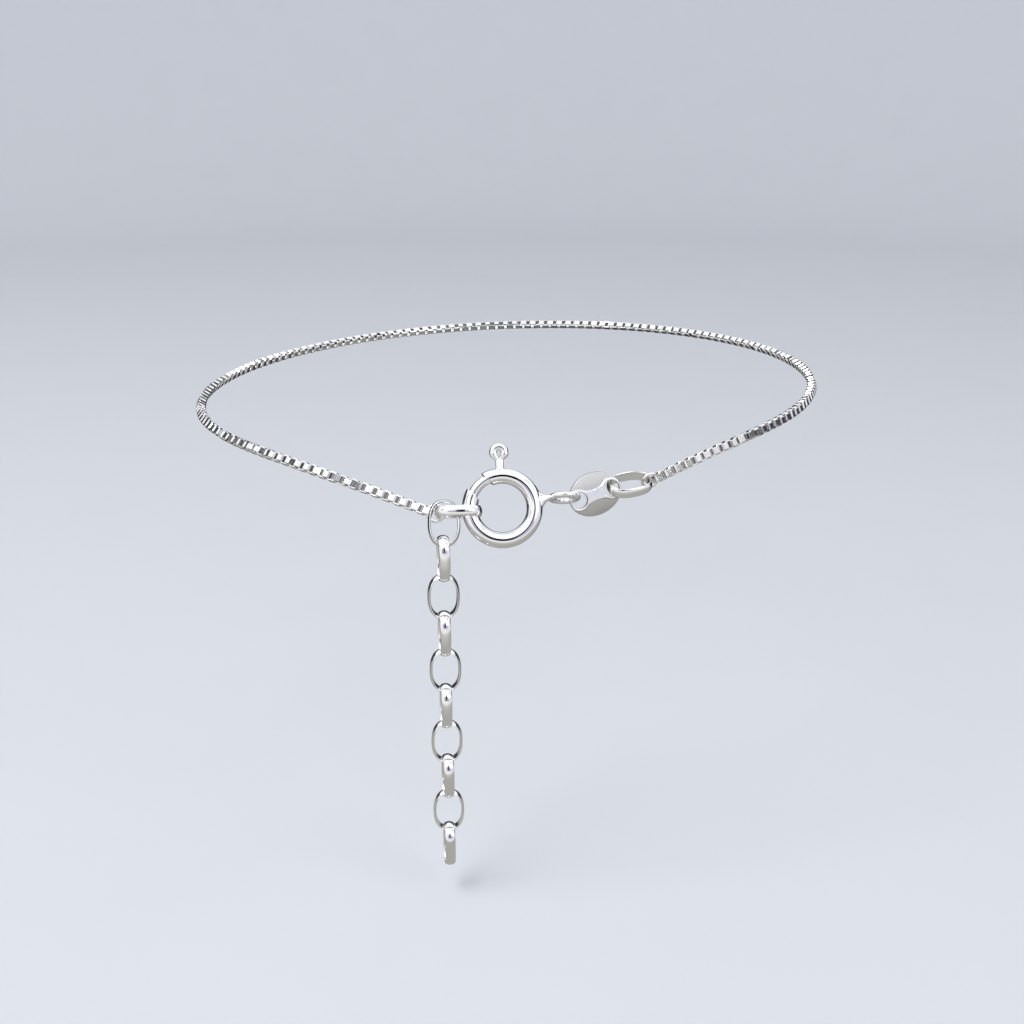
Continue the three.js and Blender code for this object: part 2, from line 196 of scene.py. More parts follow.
class AnkletTagSettings(bpy.types.PropertyGroup):
    """Oval plate with a hole at each end and a raised band between the holes"""
    long: length("Length", "Length of the plate", TAG_SIZE[0] / MM)
    wide: length("Width", "Width of the plate", TAG_SIZE[1] / MM)
    plate: length("Plate", "Thickness of the plate", 0.3)
    relief: length("Relief", "Height of the raised band", 0.09)
    hole: length("Hole", "Radius of the holes", 0.72)
    spacing: length("Spacing", "Distance between the holes", 3.05)
    rim: length("Rim", "Half width of the band round a hole", 0.95)
    waist: length("Waist", "Half width of the band at its middle", 0.5)
    edge: length("Edge", "Rounding of the plate's rims", 0.07)
    curl: length("Curl", "How far the plate's sides bend back", 0.3)


class AnkletChainSettings(bpy.types.PropertyGroup):
    """Box chain on the route round the limb"""
    loop: length("Loop", "Mean radius of the loop", 32.5)
    taper: plain("Taper", "Growth of the radius for each unit down the limb", 0.566)
    dip: length("Dip", "How far the front hangs", 3.65)
    dip_spread: angle("Dip spread", "How wide the dip is", 26.3)
    tilt: length("Tilt", "How much higher the +X side rides", 1.17)
    clearance: angle("Clearance", "From an eye to the even route", 9)
    stations: IntProperty(name="Stations", description="Points on the even route", default=36, min=8)
    eye_tip: length("Eye tip", "Chain beyond the ring's wire", 0.4)
    pitch: length("Pitch", "Distance between links, before it is fitted to the length", 0.585)
    width: length("Width", "Outside width of the box", 0.88)
    strip: length("Strip", "Width of the strip that a link is bent from", 0.62)
    gauge: length("Gauge", "Thickness of the strip", 0.125)
    bevel: length("Bevel", "Rounding of the strip's outer edges", 0.05)
    corner: length("Corner", "Rounding of a link's corners", 0.13)
    twist: angle("Twist", "Largest slow twist of the chain", 18)
    scatter: angle("Scatter", "Play of each link about the chain", 2.2)


class AnkletFinishSettings(bpy.types.PropertyGroup):
    """Colours and polish of the silver"""
    silver: colour("Silver", "Polished silver", (0.955, 0.952, 0.965))
    tarnish: colour("Tarnish", "Faint warm film on the silver", (0.93, 0.90, 0.85))
    satin: colour("Satin", "Satin silver of the tag", (0.60, 0.595, 0.58))
    satin_film: colour("Satin film", "Film on the satin silver", (0.52, 0.51, 0.485))
    polish: plain("Polish", "Roughness of polished silver", 0.07)
    brushed: plain("Brushed", "Roughness of the satin tag", 0.36)
    rubbed: plain("Rubbed", "Roughness of the tag's raised band", 0.24)


class AnkletStageSettings(bpy.types.PropertyGroup):
    """Camera, floor, lights and the colours of the painted reflections"""
    lens: plain("Lens", "Focal length of the camera in millimetres", 50.27)
    distance: length("Distance", "From the camera to the loop's axis", 151.7)
    rise: length("Rise", "Height of the camera above the loop", 35.95)
    pitch: angle("Pitch", "How far the camera looks down", 18.5)
    drop: length("Drop", "From the lowest link to the floor", 3.0)
    floor: colour("Floor", "Floor and backdrop", (0.80, 0.82, 0.86))
    sky: colour("Sky", "Soft light from all round", (0.93, 0.95, 1.0))
    # The next five colours are painted reflections that the floor shows to polished metal alone: a bright
    # floor in front, painted shade below the anklet, a bright wall in front, a dimmer wall on the right and a
    # painted dark backdrop behind.
    painted_table: colour("Table", "Reflected floor in front", (0.88, 0.87, 0.84))
    under: colour("Under", "Reflected floor below the anklet", (0.40, 0.395, 0.37))
    window: colour("Window", "Reflected wall in front", (0.96, 0.97, 1.0))
    painted_side: colour("Dim side", "Reflected wall on the right", (0.78, 0.78, 0.84))
    painted_room: colour("Room", "Reflected room behind", (0.05, 0.05, 0.055))


SETTINGS = {
    "anklet_links": AnkletLinkSettings,
    "anklet_rings": AnkletRingSettings,
    "anklet_clasp": AnkletClaspSettings,
    "anklet_bolt": AnkletBoltSettings,
    "anklet_tag": AnkletTagSettings,
    "anklet_chain": AnkletChainSettings,
    "anklet_finish": AnkletFinishSettings,
    "anklet_stage": AnkletStageSettings,
}


# ---- surfaces ----

def grid_faces(rows, columns, wrap_rows=False):
    """Quads between neighbouring points of a grid stored row by row, whose rows close on themselves."""
    row = np.arange(rows if wrap_rows else rows - 1)[:, None]
    column = np.arange(columns)[None, :]
    next_row, next_column = (row + 1) % rows, (column + 1) % columns
    corners = [row * columns + column, next_row * columns + column,
               next_row * columns + next_column, row * columns + next_column]
    return np.stack(np.broadcast_arrays(*corners), -1).reshape(-1, 4)


def outward(points, faces):
    """The faces, turned over if the volume they enclose comes out negative."""
    a, b, c, d = (points[faces[:, corner]] for corner in range(4))
    volume = np.einsum("ij,ij->", a, np.cross(b, c) + np.cross(c, d))
    return faces if volume > 0 else faces[:, ::-1]


def smooth_step(share):
    """A share from 0 to 1, eased in and out: s^2 (3 - 2 s)."""
    return share ** 2 * (3 - 2 * share)


def full_turn(count):
    """Evenly spread angles round a full turn."""
    return np.linspace(0, TURN, count, endpoint=False)


def revolved(reach, angle, height):
    """Points at a reach from the z axis in the direction of the angle, at a height."""
    return np.stack(np.broadcast_arrays(reach * np.cos(angle), reach * np.sin(angle), height), -1)


def turned(along, sideways, height, angle):
    """Points whose first two coordinates are turned about the z axis."""
    cosine, sine = math.cos(angle), math.sin(angle)
    return np.stack([along * cosine - sideways * sine, along * sine + sideways * cosine, height], -1)


def joined(*surfaces):
    """Several (points, faces) surfaces as one."""
    offsets = np.cumsum([0, *(len(points) for points, _ in surfaces[:-1])])
    faces = [faces + offset for (_, faces), offset in zip(surfaces, offsets)]
    return np.concatenate([points for points, _ in surfaces]), np.concatenate(faces)


def capped(rings):
    """A tube from rings of points (rows), closed at both ends on the middle of its end rings."""
    start = np.broadcast_to(rings[:1].mean(1, keepdims=True), rings[:1].shape)
    end = np.broadcast_to(rings[-1:].mean(1, keepdims=True), rings[-1:].shape)
    whole = np.concatenate([start, rings, end])
    points = whole.reshape(-1, 3)
    return points, outward(points, grid_faces(*whole.shape[:2]))


def torus(radius, wire, around, section):
    """Round wire bent to a ring: (R + w cos v) in the direction u, and w sin v out of the plane."""
    u, v = full_turn(around)[:, None], full_turn(section)
    points = revolved(radius + wire * np.cos(v), u, wire * np.sin(v)).reshape(-1, 3)
    return points, outward(points, grid_faces(around, section, wrap_rows=True))


def shell(outer, inner, faces):
    """A wall between two skins: outer faces, inner ones turned over, and a strip along each open edge."""
    count = len(outer)
    edges = np.concatenate([faces[:, [corner, (corner + 1) % 4]] for corner in range(4)])
    open_edge = ~np.isin(edges[:, 0] * count + edges[:, 1], edges[:, 1] * count + edges[:, 0])
    start, end = edges[open_edge].T
    strip = np.stack([end, start, start + count, end + count], -1)
    points = np.concatenate([outer, inner])
    return points, outward(points, np.concatenate([faces, faces[:, ::-1] + count, strip]))


def welded(points, faces):
    """Points that coincide become one, and faces that shrink to less than a triangle go."""
    keys = np.round(points / WELD_DISTANCE).astype(np.int64)
    _, first, index = np.unique(keys, axis=0, return_index=True, return_inverse=True)
    return points[first], index.reshape(-1)[faces]


def new_object(name, data):
    """An object in the scene."""
    made = bpy.data.objects.new(name, data)
    bpy.context.scene.collection.objects.link(made)
    return made


def mesh_object(name, points, polygons, material, smooth=True):
    """An object with a mesh of one material."""
    mesh = bpy.data.meshes.new(name)
    mesh.from_pydata(points.tolist(), [], polygons)
    mesh.polygons.foreach_set("use_smooth", np.full(len(mesh.polygons), smooth))
    mesh.update()
    mesh.materials.append(material)
    return new_object(name, mesh)


def add_piece(name, surface, material, body, replaced, smooth=True):
    """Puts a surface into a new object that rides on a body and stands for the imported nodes."""
    points, faces = welded(*surface)
    polygons = [list(dict.fromkeys(face)) for face in faces.tolist()]
    piece = mesh_object(name, points, [face for face in polygons if len(face) > 2], material, smooth)
    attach(piece, body)
    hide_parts(*replaced)
    return piece


# ---- links and rings ----

def link_surface(size, around=120, section=32, squareness=10, seam_place=0.62 * TURN, seam_spread=0.03):
    """Domed band bent to an oval. Station u lies in the direction u on the superellipse
    (|x/a|^p + |y/b|^p = 1), whose half axes a and b grow with the height o of the section; the
    section has a crown of the full wall at its middle and thinner, rounded edges."""
    u, v = full_turn(around)[:, None], full_turn(section)
    share = np.cos(v)
    crown = size.wall * (1 - (1 - size.edge) * share ** 2)
    belly = 0.12 * size.wall * share ** 4
    rounding = np.sqrt(1 - share ** squareness)
    lift = (crown + belly) / 2 + np.sign(np.sin(v)) * rounding * (crown - belly) / 2
    seam = size.seam * np.exp(-((u - seam_place) / seam_spread) ** 2)
    lift = lift - seam * (lift > (crown + belly) / 2)
    half_long = size.long / 2 - size.wall + lift
    half_wide = size.wide / 2 - size.wall + lift
    power = size.power
    reach = (np.abs(np.cos(u) / half_long) ** power + np.abs(np.sin(u) / half_wide) ** power) ** (-1 / power)
    points = revolved(reach, u, size.band / 2 * share).reshape(-1, 3)
    return points, outward(points, grid_faces(around, section, wrap_rows=True))


def add_at_nodes(nodes, suffix, surface, material):
    """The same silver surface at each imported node, placed by the node's principal axes."""
    points, faces = surface
    for node in nodes:
        middle, axes, _ = principal_place(node)
        add_piece(f"{node}_{suffix}", (placed(points, middle, axes), faces), material,
                  "root", [node])


class ANKLET_OT_oval_links(bpy.types.Operator):
    """Make the extension links and the tie link from domed wire"""
    bl_idname = "anklet.oval_links"
    bl_label = "Oval Links"

    def execute(self, context):
        surface = link_surface(context.scene.anklet_links)
        add_at_nodes(OVAL_LINKS, "band", surface, polished_silver("link_silver_finish", 0.85, 1.0))
        return {"FINISHED"}


class ANKLET_OT_end_rings(bpy.types.Operator):
    """Make the small rings that hold the chain's ends"""
    bl_idname = "anklet.end_rings"
    bl_label = "End Rings"

    def execute(self, context):
        size = context.scene.anklet_rings
        surface = torus((size.outer - size.wire) / 2, size.wire / 2, around=72, section=20)
        add_at_nodes(END_RINGS, "wire", surface, polished_silver("ring_silver_finish", 1.0, 1.4))
        return {"FINISHED"}


# ---- clasp ----

def eased(start, end, count, rim):
    """Shares of the way from 0 to 1, crowded at a rounded start and end over the given share."""
    crowd = rim * np.array([0, 0.25, 0.6, 1.1, 2.0, 3.5])
    middle = np.linspace(start * crowd[-1], 1 - end * crowd[-1], count)
    before, after = crowd[:-1] if start else [], 1 - crowd[-2::-1] if end else []
    return np.concatenate([before, middle, after])


def clasp_tube(size, sides=47, slot_sides=6, gap_steps=9, slot_steps=49, back_steps=120, bore_flare=0.3):
    """Wall of the bent tube. A point stands at R + r cos v in the direction of its station and r sin v
    out of the plane. The stations run from one side of the gap round to the other; the gap's sides are
    flat, so a station's angle there depends on its distance from the middle. The slot is left open."""
    slot_half = math.asin(size.slot / 2 / size.tube)
    v = np.concatenate([np.linspace(slot_half, TURN - slot_half, sides),
                        np.linspace(-slot_half, slot_half, slot_sides + 1)[1:-1]])
    rim_angle = size.rim / size.radius
    gap_span, back_span = 0.6, 3.6
    spans = [eased(1, 0, gap_steps, rim_angle / gap_span), eased(0, 0, slot_steps, 0)[1:],
             eased(0, 1, back_steps, rim_angle / back_span)[1:]]
    skins = []
    for radius in (size.tube, size.bore):
        reach = size.radius + radius * np.cos(v)
        back = np.arcsin(size.gap / 2 / reach)
        stops = [size.gap_angle - back, 0 * v + size.slot_high, 0 * v + size.slot_low,
                 size.gap_angle - TURN + back]
        angles = np.concatenate([start + (end - start) * span[:, None]
                                 for span, start, end in zip(spans, stops[:-1], stops[1:])])
        to_end = np.minimum(angles[:1] - angles, angles - angles[-1:]) * size.radius
        rounding = 1 if radius == size.tube else -bore_flare
        thin = radius - size.rim * np.maximum(0, 1 - to_end / size.rim) ** 2 * rounding
        skins.append(revolved(size.radius + thin * np.cos(v), angles, thin * np.sin(v)).reshape(-1, 3))
    rows, columns = angles.shape
    faces = grid_faces(rows, columns)
    row, column = np.divmod(np.arange(len(faces)), columns)
    slot_start = len(spans[0]) - 1
    in_slot = (row >= slot_start) & (row < slot_start + len(spans[1])) & (column >= columns - slot_sides)
    return shell(*skins, faces[~in_slot])


def saddle(size, steps=40, root_steps=8, sides=40, flare_power=3, thick_power=1.6):
    """Solder that runs from the tube to its ring: at the share t of its length the section is an ellipse
    whose half width is tip + flare (1 - t)^p, and whose half thickness eases from the tube's to the tip's.
    Its root spreads over the middle of the tube's wall, out of the bore."""
    inner = np.linspace(0.05, 1, root_steps)[:-1, None]
    spread = np.concatenate([inner, np.ones((steps, 1))])
    t = np.concatenate([0 * inner, np.linspace(0, 1, steps)[:, None]])
    v = full_turn(sides)
    root_wide, root_thick = size.saddle_tip + size.saddle_flare, 0.78 * size.tube
    wall = (size.tube + size.bore) / 2
    wall_middle = size.radius + np.sqrt(wall ** 2 - (spread * root_thick * np.sin(v)) ** 2)
    root = np.sqrt(wall_middle ** 2 - (spread * root_wide * np.cos(v)) ** 2)
    along = root + (size.saddle_reach - root) * t
    half_wide = size.saddle_tip + size.saddle_flare * (1 - t) ** flare_power
    half_thick = size.saddle_tip + (root_thick - size.saddle_tip) * (1 - t) ** thick_power
    sideways, height = spread * half_wide * np.cos(v), spread * half_thick * np.sin(v)
    return capped(turned(along, sideways, height, size.saddle_angle))


def soldered_ring(size):
    """The ring on the clasp: a torus tipped until it is nearly square to the clasp's face."""
    points, faces = torus(size.eye_radius, size.eye_wire, around=96, section=28)
    tip = np.array(Matrix.Rotation(math.pi / 2 - size.eye_turn, 3, "X"))
    return points @ tip.T + [size.eye_x, size.eye_y, 0], faces


class ANKLET_OT_clasp_body(bpy.types.Operator):
    """Make the clasp's tube, the solder and the soldered ring"""
    bl_idname = "anklet.clasp_body"
    bl_label = "Clasp Body"

    def execute(self, context):
        size = context.scene.anklet_clasp
        points, faces = joined(clasp_tube(size), saddle(size), soldered_ring(size))
        material = polished_silver("clasp_silver_finish", 1.0, 0.7)
        surface = placed(points, *clasp_place()), faces
        add_piece("clasp_body_tube", surface, material, "root", ["clasp_body"])
        return {"FINISHED"}


def bolt_wire(size, radius, steps=64, sides=36, rim=0.12 * MM):
    """The bolt: round wire bent to the tube's centre line, with rounded ends."""
    t = np.linspace(0, 1, steps)[:, None]
    v = full_turn(sides)
    angles = size.start + (size.tip - size.start) * t
    to_end = np.minimum(t, 1 - t) * (size.tip - size.start) * radius
    thin = size.wire - rim * np.maximum(0, 1 - to_end / rim) ** 2
    return capped(revolved(radius + thin * np.cos(v), angles, thin * np.sin(v)))


def lever_wire(size, radius, tube, head_steps=72, blend_steps=12, leg_steps=14, sides=28):
    """The thumb lever: wire that runs up one leg, round the head and down the other leg. Half width and
    half thickness ease from the legs' to the head's, so the legs touch along a seam."""
    opening, growth, overlap = math.radians(24), 0.35 * MM, 1.04
    head_wire = (size.head - size.eye) / 2
    loop = size.eye + head_wire
    top = radius + tube + size.height - size.head
    join = math.asin(min(1, size.leg / loop)) + opening
    turn = np.linspace(-math.pi + join, math.pi - join, head_steps)
    round_x = top + loop * np.cos(turn)
    round_y = loop * np.sin(turn)
    neck = top - loop * 1.25
    blend = np.linspace(0, 1, blend_steps)[1:-1]
    leg_x = np.concatenate([np.linspace(radius, neck, leg_steps), neck + (round_x[0] - neck) * blend])
    leg_y = np.concatenate([np.full(leg_steps, -size.leg),
                            -size.leg + (round_y[0] + size.leg) * smooth_step(blend)])
    x = np.concatenate([leg_x, round_x, leg_x[::-1]])
    y = np.concatenate([leg_y, round_y, -leg_y[::-1]])
    grown = smooth_step(np.clip((x - neck) / (top - loop - neck + growth), 0, 1))[:, None]
    half = size.leg * overlap + (head_wire - size.leg) * grown
    depth = size.leg_depth + (size.head_depth - size.leg_depth) * grown
    tangent = unit(np.stack([np.gradient(x), np.gradient(y)], -1))
    v = full_turn(sides)
    sideways = half * np.cos(v)
    px = x[:, None] - tangent[:, 1:] * sideways
    py = y[:, None] + tangent[:, :1] * sideways
    return capped(turned(px, py, depth * np.sin(v), size.lever))


class ANKLET_OT_clasp_bolt(bpy.types.Operator):
    """Make the sprung bolt and its thumb lever"""
    bl_idname = "anklet.clasp_bolt"
    bl_label = "Clasp Bolt"

    def execute(self, context):
        size, clasp = context.scene.anklet_bolt, context.scene.anklet_clasp
        points, faces = joined(bolt_wire(size, clasp.radius), lever_wire(size, clasp.radius, clasp.tube))
        material = polished_silver("bolt_silver_finish", 1.0, 0.9)
        surface = placed(points, *clasp_place()), faces
        add_piece("clasp_bolt_wire", surface, material, "bolt", ["clasp_bolt"])
        return {"FINISHED"}


# ---- tag ----

def band_edge(size, x, bend=math.radians(110), steps=60):
    """Half width of the raised band at x: a circle round the hole, and a curve in to the waist."""
    half = size.spacing / 2
    t = np.linspace(0, 1, steps)
    joint = np.array([half + size.rim * math.cos(bend), size.rim * math.sin(bend)])
    pull, waist = np.array([0.55 * half, size.waist]), np.array([0, size.waist])
    curve = (np.outer((1 - t) ** 2, joint) + np.outer(2 * t * (1 - t), pull) + np.outer(t ** 2, waist))[::-1]
    circle = np.sqrt(np.maximum(0, size.rim ** 2 - (x - half) ** 2))
    return np.where(x < joint[0], np.interp(x, curve[:, 0], curve[:, 1]), circle)


def stations(start, end, count):
    """Rows of distances from the start to the end, without the start."""
    return start + (end - start) * np.linspace(0, 1, count)[1:, None]


def tag_surface(size, rays_out=120, rays_in=60, samples=400, slope=0.05 * MM, margin=1e-3 * MM):
    """The plate, one half round each hole. From the hole's middle a ray in the direction u meets the
    hole, the edge of the raised band and the plate's outline (or the middle line). Stations on the ray
    run over the top from the hole to the outline and back underneath; the top is half the plate's
    thickness plus the relief inside the band, less a quarter circle at the rims and the curl."""
    half_long, half_wide, half = size.long / 2, size.wide / 2, size.spacing / 2
    corner = math.atan2(half_wide, -half)
    u = np.concatenate([np.linspace(-corner, corner, rays_out, endpoint=False),
                        np.linspace(corner, TURN - corner, rays_in, endpoint=False)])
    on_line = u >= corner - 1e-9
    cosine, sine = np.cos(u), np.sin(u)
    a = (cosine / half_long) ** 2 + (sine / half_wide) ** 2
    b = half * cosine / half_long ** 2
    c = (half / half_long) ** 2 - 1
    to_outline = (-b + np.sqrt(b ** 2 - a * c)) / a
    to_line = half / np.maximum(-cosine, 1e-6)
    outer = np.where(on_line, to_line, to_outline)
    walk = size.hole + (outer - size.hole) * np.linspace(0, 1, samples)[:, None]
    outside = np.abs(walk * sine) > band_edge(size, np.maximum(0, half + walk * cosine))
    leaves = outside.any(0)
    crossing = np.where(leaves, walk[np.argmax(outside, 0), np.arange(len(u))], outer)
    crossing = np.clip(crossing, size.hole + 2 * slope, outer - margin)
    low, high = crossing - slope, np.minimum(crossing + slope, outer - margin / 2)
    plain_stop = np.maximum(high, outer - np.where(on_line, 0.02, 1.0) * size.edge)
    rim_stop, over_rim = size.hole + size.edge, np.array([0, 0.1, 0.3, 0.6, 1.0])
    rows = [size.hole + size.edge * over_rim[:, None] * np.ones_like(u),
            stations(rim_stop, np.maximum(low, rim_stop), 8),
            stations(low, high, 8),
            stations(high, plain_stop, 22),
            plain_stop + (outer - plain_stop) * (1 - over_rim[::-1])[1:, None]]
    reach = np.concatenate(rows)
    x, y = half + reach * cosine, reach * sine
    rise = smooth_step(np.where(leaves, np.clip((high - reach) / (high - low), 0, 1), 1))
    from_rim = np.minimum(reach - size.hole, np.where(on_line, size.edge, outer - reach))
    dip = np.clip(1 - from_rim / size.edge, 0, 1)
    rounding = size.edge * (1 - np.sqrt(1 - dip ** 2))
    curl = size.curl * (y / half_wide) ** 2
    top = np.stack([x, y, size.plate / 2 + size.relief * rise - rounding - curl], -1)
    under = np.stack([x, y, rounding - size.plate / 2 - curl], -1)[::-1]
    whole = np.concatenate([top, under])
    count, columns = whole.shape[:2]
    faces = grid_faces(count, columns, wrap_rows=True)
    row, column = np.divmod(np.arange(len(faces)), columns)
    open_side = (row == len(top) - 1) & on_line[column]
    points = whole.reshape(-1, 3)
    faces = faces[~open_side]
    return welded(*joined((points, faces), (points * [-1, 1, 1], faces[:, ::-1])))


def band_share(size, points):
    """1 on the raised band, 0 on the plate: the height over the curled plate in reliefs."""
    height = points[:, 2] + size.curl * (2 * points[:, 1] / size.wide) ** 2
    return np.clip((height - size.plate / 2) / size.relief, 0, 1)


class ANKLET_OT_tag(bpy.types.Operator):
    """Make the oval tag with its raised band"""
    bl_idname = "anklet.tag"
    bl_label = "Oval Tag"

    def execute(self, context):
        size = context.scene.anklet_tag
        points, faces = tag_surface(size)
        middle, axes, _ = principal_place("oval_tag")
        facing = np.sign(-axes[2][1])
        rightward = np.sign(axes[0][0])
        axes = np.stack([axes[0] * rightward, axes[1] * rightward * facing, axes[2] * facing])
        middle = middle - axes[2] * size.relief / 2
        surface = placed(points, middle, axes), outward(points, faces)
        piece = add_piece("oval_tag_plate", surface, satin_silver(), "root", ["oval_tag"])
        flat = np.array([vertex.co for vertex in piece.data.vertices]) - middle
        shares = band_share(size, flat @ axes.T)
        piece.data.attributes.new("band", "FLOAT", "POINT").data.foreach_set("value", shares)
        return {"FINISHED"}


# ---- box chain ----

def smooth_line(points, per_span=24):
    """Centripetal Catmull-Rom line: a cubic on each span, with end slopes from the neighbouring chords
    weighed by the square root of their lengths."""
    whole = np.concatenate([2 * points[:1] - points[1:2], points, 2 * points[-1:] - points[-2:-1]])
    gap = np.sqrt(np.linalg.norm(np.diff(whole, axis=0), axis=1))[:, None]
    before, here, after = gap[:-2], gap[1:-1], gap[2:]
    p0, p1, p2, p3 = whole[:-3], whole[1:-2], whole[2:-1], whole[3:]
    leave = ((p1 - p0) / before - (p2 - p0) / (before + here) + (p2 - p1) / here) * here
    arrive = ((p2 - p1) / here - (p3 - p1) / (here + after) + (p3 - p2) / after) * here
    t = np.linspace(0, 1, per_span, endpoint=False)[None, :, None]
    p1, p2, leave, arrive = (array[:, None, :] for array in (p1, p2, leave, arrive))
    spans = (p1 + leave * t + (3 * (p2 - p1) - 2 * leave - arrive) * t ** 2
             + (2 * (p1 - p2) + leave + arrive) * t ** 3)
    return np.concatenate([spans.reshape(-1, 3), points[-1:]])


def route_point(size, around):
    """Route round the limb: z = tilt sin a - dip exp(-(a / spread)^2), at the radius loop - taper z."""
    wrapped = np.arctan2(np.sin(around), np.cos(around))
    height = size.tilt * np.sin(around) - size.dip * np.exp(-((wrapped / size.dip_spread) ** 2))
    reach = size.loop - size.taper * height
    return np.stack([reach * np.sin(around), -reach * np.cos(around), height], -1)


def chain_eye(node):
    """The wire of an end ring that the chain's last link takes, and the direction from the ring's link."""
    middle, _, size = principal_place(node)
    link_middle, link_axes, _ = principal_place(END_RINGS[node])
    away = link_axes[0] * np.sign(link_axes[0] @ (middle - link_middle))
    return middle + away * (size[0] - size[2]) / 2, away


def chain_line(size):
    """The chain's centre line, from the +X eye round the back of the limb to the -X eye."""
    (right, from_right), (left, from_left) = (chain_eye(node) for node in END_RINGS)
    start = math.atan2(right[0], -right[1]) + size.clearance
    end = TURN + math.atan2(left[0], -left[1]) - size.clearance
    route = route_point(size, np.linspace(start, end, size.stations))
    tips = [right - from_right * size.eye_tip], [left - from_left * size.eye_tip]
    return smooth_line(np.concatenate([tips[0], route, tips[1]]))


def box_link(size, pitch):
    """One link in (along, across, axis): a strip bent to a rectangle with cut corners. Stations run round
    the rectangle, and at each one the section goes over the strip's outside, whose edges are bevelled."""
    half_long, half_wide, cut = (pitch + 2 * size.gauge) / 2, size.width / 2, size.corner
    ring = []
    for inset, cut_here in ((0, cut), (size.gauge, cut * 0.5)):
        long, wide = half_long - inset, half_wide - inset
        ring.append([(long, cut_here - wide), (long, wide - cut_here), (long - cut_here, wide),
                     (cut_here - long, wide), (-long, wide - cut_here), (-long, cut_here - wide),
                     (cut_here - long, -wide), (long - cut_here, -wide)])
    outer, inner = np.array(ring)
    shoulder = outer + (inner - outer) * size.bevel / size.gauge
    half, crown = size.strip / 2, size.strip / 2 - size.bevel
    section = [(outer, -crown), (outer, crown), (shoulder, half),
               (inner, half), (inner, -half), (shoulder, -half)]
    return np.stack([np.column_stack([ring, np.full(len(ring), level)]) for ring, level in section], 1)


def box_chain_surface(size, first_link=0.08 * MM, seed=11, fade=20):
    """All the links. Their middles are a pitch apart on the centre line; each has its length along the
    line, and its axis turns by a quarter from link to link, with a slow twist and a little play. The play
    fades out over the first and last 1 / fade of the chain."""
    line = chain_line(size)
    travelled = np.concatenate([[0], np.cumsum(np.linalg.norm(np.diff(line, axis=0), axis=1))])
    inset = size.eye_tip + first_link
    run = travelled[-1] - 2 * inset
    count = 2 * round(run / size.pitch / 2) + 1
    pitch = run / (count - 1)
    stops = inset + pitch * np.arange(count)
    middles, ahead, behind = (
        np.stack([np.interp(stops + shift, travelled, line[:, axis]) for axis in range(3)], -1)
        for shift in (0, pitch / 2, -pitch / 2))
    along = unit(ahead - behind)
    radial = unit(middles * [1, 1, 0])
    normal = radial + UP * size.taper
    normal = unit(normal - along * np.sum(normal * along, -1, keepdims=True))
    side = np.cross(along, normal)
    share = np.arange(count) / (count - 1)
    play = np.random.default_rng(seed).normal(0, size.scatter, (3, count))
    play = play * np.minimum(1, fade * share * (1 - share))
    slow = size.twist * np.sin(TURN * 2 * share) * np.sin(math.pi * share) ** 0.5
    roll = (math.pi / 2 * (np.arange(count) % 2) + slow + play[0])[:, None]
    across = np.cos(roll) * normal + np.sin(roll) * side
    along = unit(along + play[1][:, None] * normal + play[2][:, None] * side)
    across = unit(across - along * np.sum(across * along, -1, keepdims=True))
    axis = np.cross(along, across)
    shape = box_link(size, pitch)
    stations, corners = shape.shape[:2]
    local = shape.reshape(1, -1, 3)
    points = (middles[:, None] + local[..., :1] * along[:, None] + local[..., 1:2] * across[:, None]
              + local[..., 2:] * axis[:, None])
    faces = grid_faces(stations, corners, wrap_rows=True)
    faces = outward(points[0], faces)[None] + (np.arange(count) * stations * corners)[:, None, None]
    return points.reshape(-1, 3), faces.reshape(-1, 4)


class ANKLET_OT_box_chain(bpy.types.Operator):
    """Make the box chain, link by link, along its route"""
    bl_idname = "anklet.box_chain"
    bl_label = "Box Chain"

    def execute(self, context):
        surface = box_chain_surface(context.scene.anklet_chain)
        material = polished_silver("chain_silver_finish", 1.3, 1.6)
        add_piece("box_chain_links", surface, material, "root", ["box_chain"], smooth=False)
        return {"FINISHED"}


# ---- finishes ----

def new_group(name, output, **inputs):
    """A shader node group, the sockets it is given and the one it fills. Sockets go by name and kind."""
    group = bpy.data.node_groups.new(name, "ShaderNodeTree")
    for socket, kind in inputs.items():
        group.interface.new_socket(socket, in_out="INPUT", socket_type=f"NodeSocket{kind}")
    socket, kind = output
    group.interface.new_socket(socket, in_out="OUTPUT", socket_type=f"NodeSocket{kind}")
    return group, group.nodes.new("NodeGroupInput").outputs, group.nodes.new("NodeGroupOutput").inputs[socket]


def noise(tree, vector, scale, detail=2.0):
    """A noise texture read at a vector; scale is a socket or a number."""
    node = tree.nodes.new("ShaderNodeTexNoise")
    node.inputs["Detail"].default_value = detail
    tree.links.new(vector, node.inputs["Vector"])
    set_or_link(tree, scale, node.inputs["Scale"])
    return node.outputs["Fac"]


def set_or_link(tree, value, socket):
    """Links a socket to a socket, or sets a number on it."""
    if isinstance(value, bpy.types.NodeSocket):
        tree.links.new(value, socket)
    else:
        socket.default_value = value


def maths(tree, operation, *values):
    """A maths node on sockets and numbers."""
    node = tree.nodes.new("ShaderNodeMath")
    node.operation = operation
    for value, socket in zip(values, node.inputs):
        set_or_link(tree, value, socket)
    return node.outputs[0]


def stretched(tree, vector, scale, rotation):
    """The vector, turned and stretched, so that a noise on it makes streaks."""
    node = tree.nodes.new("ShaderNodeMapping")
    node.inputs["Scale"].default_value = scale
    node.inputs["Rotation"].default_value = rotation
    tree.links.new(vector, node.inputs["Vector"])
    return node.outputs["Vector"]


